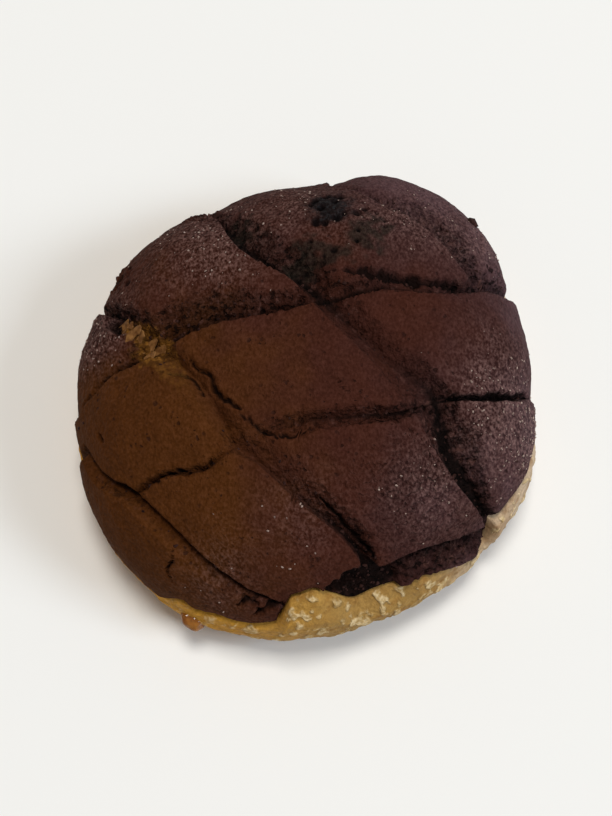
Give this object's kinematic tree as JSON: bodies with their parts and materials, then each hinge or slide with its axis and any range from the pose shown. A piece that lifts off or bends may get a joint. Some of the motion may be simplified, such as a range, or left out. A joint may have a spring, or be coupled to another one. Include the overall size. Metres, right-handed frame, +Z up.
{
  "type": "chocolate melon pan bun",
  "caption": "Round bread bun under a thick chocolate cookie crust, scored with crossing grooves into puffed panels; a flat foot lets it rest.",
  "frame": {"origin": "on the surface the bun stands on, under the middle of its box", "axes": "+Z up out of the crown; -Y is the front, where most bread shows below the crust; +X is the front view's right"},
  "size_m": [0.1117, 0.1161, 0.0459],
  "materials": {
    "bread": "golden baked bread skin, matt with a faint sheen, floury and pale at the right, browner at the left",
    "cookie_crust": "matt dark chocolate cookie, finely pitted, cracked and crumbly in the scores"
  },
  "bodies": {
    "root": {"bread_bun": "bread", "cookie_crust": "cookie_crust"}
  },
  "joints": []
}
